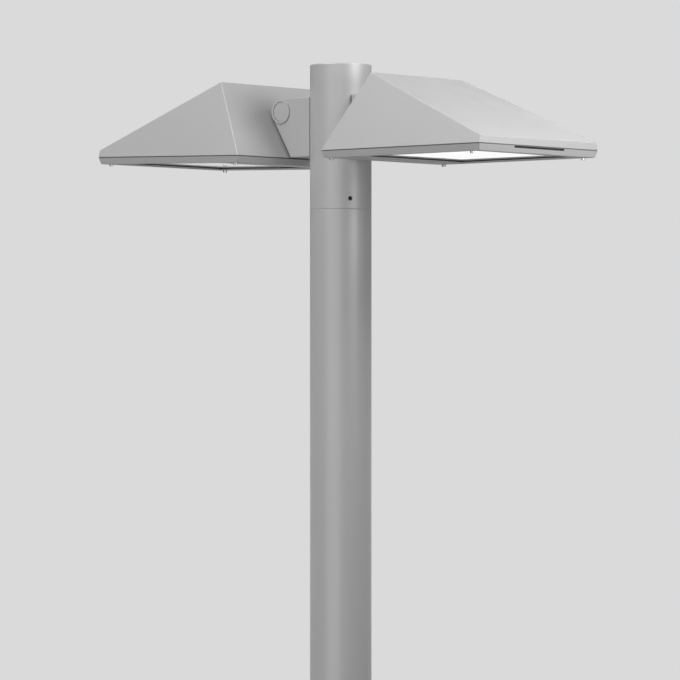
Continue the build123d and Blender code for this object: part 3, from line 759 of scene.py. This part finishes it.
class Head(Assembly):
    """Housing, light engine and gear of one head."""

    sizes = HeadSizes()

    def lens_centres(self) -> np.ndarray:
        """Where each lens is, one per row."""
        s = self.sizes
        rows = (np.arange(s.lens_rows) - (s.lens_rows - 1) / 2) * s.lens_pitch + s.board_centre
        columns = (np.arange(s.lens_columns) - (s.lens_columns - 1) / 2) * s.lens_pitch
        x, y = np.meshgrid(rows, columns, indexing="ij")
        return np.stack([x.ravel(), y.ravel(), np.full(x.size, s.board_low)], 1)

    def chips(self) -> None:
        """A white package with a phosphor square under each lens."""
        s = self.sizes
        packages, phosphor = Surface(), Surface()
        for x, y, z in self.lens_centres():
            block = (s.package, s.package, s.package_thick)
            packages.pad((x, y, z + s.package_sunk), block, s.package_bevel)
            glow = (s.phosphor, s.phosphor, s.phosphor_thick)
            phosphor.pad((x, y, z - s.package_thick + s.phosphor_sunk), glow, s.phosphor_bevel)
        self.add("led_packages", packages, "white_polymer")
        piece = phosphor.build(f"{self.body}_led_phosphor", self.wardrobe["phosphor"], self.seat)
        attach(piece, self.body)

    def lens_screws(self) -> None:
        """Small screws between the lenses that hold their plate and the board."""
        s = self.sizes
        heads = Surface()
        profile = [(r * s.lens_screw_radius, h) for r, h in LENS_HEAD]
        for row in s.lens_screw_rows:
            for column in s.lens_screw_columns:
                x = s.board_centre + row * s.lens_pitch
                heads.turned(profile, (x, column * s.lens_pitch, s.lens_plate_low), (0, 0, -1))
        self.add("lens_screws", heads, "stainless_steel")

    def terminal_screws(self) -> None:
        """Clamping screws in the terminal block's ways."""
        s = self.sizes
        heads = Surface()
        seat = s.terminal_low + s.terminal_recess
        for way in range(s.terminal_ways):
            across = (way - (s.terminal_ways - 1) / 2) * s.terminal_pitch
            heads.turned(TERMINAL_HEAD, (s.terminal_x, across, seat), (0, 0, -1))
        self.add("terminal_screws", heads, "brass")

    @staticmethod
    def run(stops: list[tuple[Triple, Triple]], shift: float) -> np.ndarray:
        """Stops of one core: each place plus shift times the way that it moves."""
        return np.array([np.array(place, float) + shift * np.array(way, float) for place, way in stops])

    def wires(self) -> None:
        """Cores from the gland to the terminal block, on to the driver, and from the driver to the board."""
        s = self.sizes
        cores = Surface()
        for core in (-1, 0, 1):
            stops = np.array(s.gland_inside) + self.run(GLAND_RUN, core)
            cores.tube(curve_through(stops, 48), s.wire, WIDTHWAYS)
        for core in (0, 1):
            shift = core * s.wire_gap
            cores.tube(curve_through(self.run(MAINS_RUN, shift), 64), s.wire, SKEW)
            cores.tube(curve_through(self.run(OUTPUT_RUN, shift), 48), s.wire, SKEW)
        self.add("wires", cores, "cable_sheath")

    def lead(self) -> None:
        """Short lead from the bracket's web into the gland."""
        s = self.sizes
        x, y, z = s.gland_tip
        (back, over), (on, under) = s.lead_before_gland, s.lead_in_gland
        stops = [(s.web_front, 0, s.lead_up), (s.web_front + s.web_run, 0, s.lead_up)]
        stops += [(x - back, 0, z + over), (x, y, z), (x + on, y, z - under)]
        path = curve_through(stops, s.lead_points)
        lead = Surface()
        lead.tube(path, s.lead, WIDTHWAYS, 24)
        piece = lead.build(f"{self.body}_flexing_lead", self.wardrobe["cable_sheath"], self.seat)
        ends = self.seat.place(path[list(s.lead_held)])
        tuple(ends[0])
        tuple(ends[1])
        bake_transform(piece)

    def build(self) -> None:
        """Make everything."""
        self.dress()
        self.chips()
        self.lens_screws()
        self.terminal_screws()
        self.wires()
        self.lead()


@dataclass(frozen=True)
class TopSizes:
    """Millimetres from the heads' seam."""

    port_out: float = 9.0
    port_floor: float = 58.0


class TopFitting(Assembly):
    """Top tube with its cap, brackets and junction block."""

    sizes = TopSizes()

    def port_screws(self) -> None:
        """A clamping screw at the bottom of each port of the junction block."""
        heads = Surface()
        s = self.sizes
        for x in (-s.port_out, s.port_out):
            heads.turned(PORT_HEAD, (x, 0.0, s.port_floor), (0, 0, 1))
        self.add("port_screws", heads, "brass")

    def build(self) -> None:
        """Make everything."""
        self.dress()
        self.port_screws()


@dataclass(frozen=True)
class LidSizes:
    """Millimetres in the head's own frame."""

    strip_x: float = 442.7
    strip_top: float = -2.1
    strip: Triple = (3.4, 132.0, 3.0)
    strip_bevel: float = 0.3
    strip_sides: int = 64


class Lid(Assembly):
    """Lid frame with its glass, gasket and captive screws."""

    sizes = LidSizes()

    def notch_shade_strip(self) -> None:
        """Black strip in the notch of the lid's front edge: painted shade, a dark sheet that stands in for
        the shadow deep in the notch.
        """
        s = self.sizes
        strip = Surface()
        # painted shade: a black strip fills the notch where there would only be shadow
        strip.pad((s.strip_x, 0.0, s.strip_top), s.strip, s.strip_bevel, s.strip_sides)
        self.add("notch_shade_strip", strip, "black_rubber")

    def build(self) -> None:
        """Make everything."""
        self.dress()
        self.notch_shade_strip()


class Door(Assembly):
    """Service door and its screws, which are all CAD."""

    def build(self) -> None:
        """Dress it."""
        self.dress()


# ------------------------------------------------------------------ studio
@dataclass(frozen=True)
class Lamp:
    """A rectangular softbox, placed round the upper part of the column.

    turn is measured from the camera's direction, to the right in the picture, and rise above the level.
    """

    name: str
    power: float
    turn: float
    rise: float
    reach: float
    wide: float
    tall: float
    below_top: float = 0.2


@dataclass
class Studio:
    """Pale floor, even backdrop, soft lights and the camera.

    The dome's bands (floor_to, horizon, side, top_from) run from 0 straight down to 1 straight up, by the
    height of the direction.
    """

    backdrop: float = 0.701
    floor_radius: float = 9.0
    top_glow: float = 0.36
    side_glow: float = 0.03
    horizon_glow: float = 1.3
    floor_glow: float = 0.20
    floor_to: float = 0.45
    horizon: tuple[float, float] = (0.455, 0.49)
    side: tuple[float, float] = (0.495, 0.58)
    top_from: float = 0.70
    floor_sides: int = 96
    floor_colour: Colour = (0.72, 0.72, 0.72)
    floor_cloud: float = 0.6
    clip_end: float = 200.0
    camera_turn: float = math.radians(42.06)
    camera_reach: float = 5.824
    camera_drop: float = 0.4827
    lens: float = 175.55
    sensor: float = 36.0
    aside: float = 0.75 / 3316
    lamps: list[Lamp] = field(default_factory=lambda: [
        Lamp("top left", 113, -60, 50, 4.0, 2.0, 2.0),
        Lamp("left strip", 17, -40, 0, 4.0, 1.0, 4.0, 0.754),
        Lamp("front strip", 21, -12, 0, 5.0, 1.0, 4.0, 0.754),
        Lamp("near right", 2.4, 50, 5, 1.1, 0.5, 0.3),
        Lamp("near top right", 11.5, 60, 35, 1.3, 0.6, 0.6),
    ])

    def floor(self) -> None:
        """A round pale floor just under the base plate."""
        turns = np.linspace(0, 2 * math.pi, self.floor_sides + 1)[:-1]
        rim = np.stack([np.cos(turns), np.sin(turns), np.zeros_like(turns)], 1) * self.floor_radius
        mesh = bpy.data.meshes.new("floor")
        mesh.from_pydata([tuple(point) for point in rim], [], [tuple(range(len(rim)))])
        graph = Graph("floor")
        change = 1 + (graph.noise(self.floor_cloud, 3.0) - 0.5) * 0.02
        values = {"Base Color": graph.shade(self.floor_colour, change), "Roughness": 0.9}
        mesh.materials.append(graph.finish(graph.principled(values).outputs[0]))
        floor = bpy.data.objects.new("floor", mesh)
        bpy.context.scene.collection.objects.link(floor)
        floor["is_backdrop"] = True

    def world(self) -> None:
        """An even grey seen by the camera, and a soft dome of light over everything else."""
        world = bpy.data.worlds.new("studio")
        bpy.context.scene.world = world
        world.use_nodes = True
        nodes, links = world.node_tree.nodes, world.node_tree.links
        nodes.clear()
        direction = nodes.new("ShaderNodeTexCoord")
        split = nodes.new("ShaderNodeSeparateXYZ")
        links.new(direction.outputs["Generated"], split.inputs[0])
        ramp = nodes.new("ShaderNodeMapRange")
        ramp.inputs["From Min"].default_value = -1
        links.new(split.outputs["Z"], ramp.inputs["Value"])
        glow = nodes.new("ShaderNodeValToRGB")
        levels = [(0.0, self.floor_glow), (self.floor_to, self.floor_glow)]
        levels += [(place, self.horizon_glow) for place in self.horizon]
        levels += [(place, self.side_glow) for place in self.side]
        levels += [(self.top_from, self.top_glow), (1.0, self.top_glow)]
        while len(glow.color_ramp.elements) < len(levels):
            glow.color_ramp.elements.new(0.5)
        for element, (place, level) in zip(glow.color_ramp.elements, levels):
            element.position = place
            element.color = (level, level, level, 1.0)
        links.new(ramp.outputs["Result"], glow.inputs[0])
        dome = nodes.new("ShaderNodeBackground")
        links.new(glow.outputs[0], dome.inputs["Color"])
        even = nodes.new("ShaderNodeBackground")
        even.inputs["Color"].default_value = (self.backdrop,) * 3 + (1.0,)
        path = nodes.new("ShaderNodeLightPath")
        mix = nodes.new("ShaderNodeMixShader")
        links.new(path.outputs["Is Camera Ray"], mix.inputs[0])
        links.new(dome.outputs[0], mix.inputs[1])
        links.new(even.outputs[0], mix.inputs[2])
        output = nodes.new("ShaderNodeOutputWorld")
        links.new(mix.outputs[0], output.inputs["Surface"])

    def lights(self, top: float) -> None:
        """Hang the softboxes, each facing the column, placed from the height of the column's top."""
        toward = Vector((math.sin(self.camera_turn), -math.cos(self.camera_turn), 0))
        right = Vector((math.cos(self.camera_turn), math.sin(self.camera_turn), 0))
        for lamp in self.lamps:
            turn, rise = math.radians(lamp.turn), math.radians(lamp.rise)
            level = toward * math.cos(turn) + right * math.sin(turn)
            target = Vector((0, 0, top - lamp.below_top))
            away = level * math.cos(rise) + Vector((0, 0, math.sin(rise)))
            data = bpy.data.lights.new(lamp.name, "AREA")
            data.shape = "RECTANGLE"
            data.energy = lamp.power
            data.size = lamp.wide
            data.size_y = lamp.tall
            light = bpy.data.objects.new(lamp.name, data)
            light.location = target + away * lamp.reach
            light.rotation_euler = (-away).to_track_quat("-Z", "Y").to_euler()
            bpy.context.scene.collection.objects.link(light)

    def camera(self, top: float) -> None:
        """A level camera at the height of the column's upper part."""
        away = Vector((math.sin(self.camera_turn), -math.cos(self.camera_turn), 0)) * self.camera_reach
        data = bpy.data.cameras.new("camera")
        data.lens = self.lens
        data.sensor_width = self.sensor
        data.clip_end = self.clip_end
        camera = bpy.data.objects.new("camera", data)
        camera.location = away + Vector((0, 0, top - self.camera_drop))
        camera.rotation_euler = (math.pi / 2, 0, self.camera_turn + math.atan(self.aside))
        bpy.context.scene.collection.objects.link(camera)
        bpy.context.scene.camera = camera

    def build(self, top: float) -> None:
        """Set the whole studio up around an object of that height."""
        bpy.context.scene.view_settings.view_transform = "Standard"
        self.floor()
        self.world()
        self.lights(top)
        self.camera(top)


def plain(bounds: Any) -> list[list[float]]:
    """Two corners as plain lists of numbers."""
    return [[float(value) for value in corner] for corner in bounds]


def main() -> None:
    """Build the object's looks and its studio, around the height of the CAD's box."""
    logging.basicConfig(level=logging.INFO, format="%(message)s")
    cad_box = plain(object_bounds())
    wardrobe = {slot: finish.build() for slot, finish in FINISHES.items()}
    Column("pole", Seat(), wardrobe).build()
    Door("door", Seat(), wardrobe).build()
    TopFitting("top", Seat(SEAM), wardrobe).build()
    for side in Side:
        seat = HeadSeat(SEAM, side, LEFT_AIM if side is Side.LEFT else 0.0)
        Head(f"{side.value}_head", seat, wardrobe).build()
        Lid(f"{side.value}_lid", seat, wardrobe).build()
    Studio().build(cad_box[1][2])


if __name__ == "__main__":
    main()
